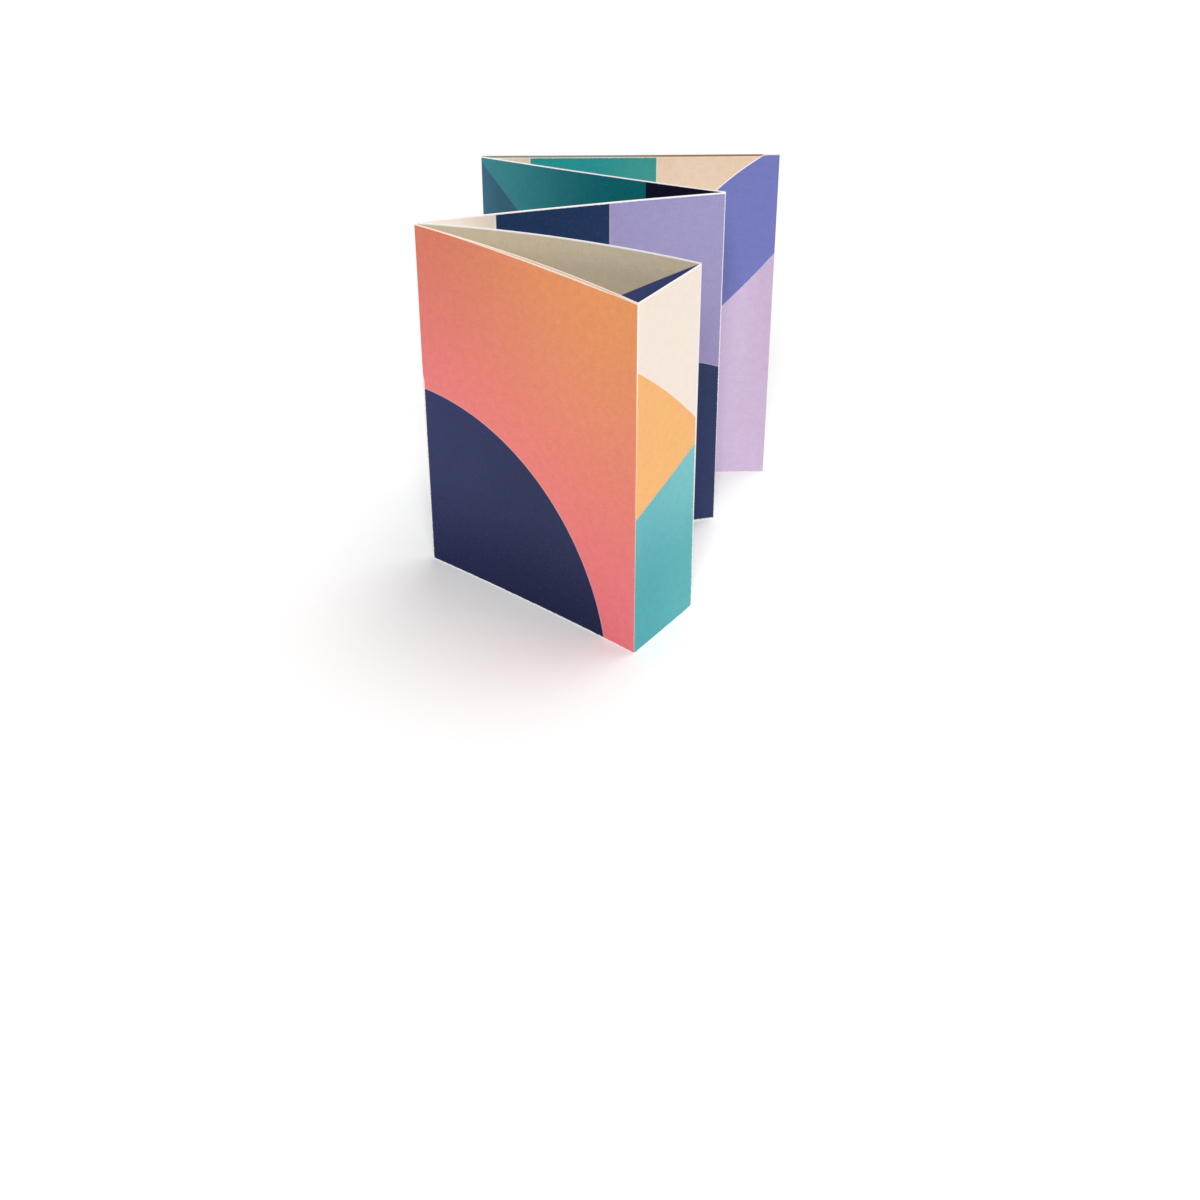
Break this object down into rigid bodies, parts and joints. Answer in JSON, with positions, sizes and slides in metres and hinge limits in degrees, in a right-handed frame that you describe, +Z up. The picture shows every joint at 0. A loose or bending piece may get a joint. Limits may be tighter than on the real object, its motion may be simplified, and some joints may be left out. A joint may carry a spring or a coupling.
{
  "type": "folded leaflet",
  "caption": "Standing printed card leaflet: a cover, narrow spine and inner panel close into a triangle, and the rest of the strip folds in a zigzag.",
  "frame": {"origin": "middle of the leaflet's box, at its foot, where its lower edge stands", "axes": "+Z up, along the folds; the rear panel lies along X; the cover faces -Y"},
  "size_m": [0.1434, 0.1388, 0.148],
  "materials": {
    "printed_card": "matt, uncoated white card, printed on both faces in flat colours"
  },
  "bodies": {
    "root": {"leaflet": "printed_card"}
  },
  "joints": []
}
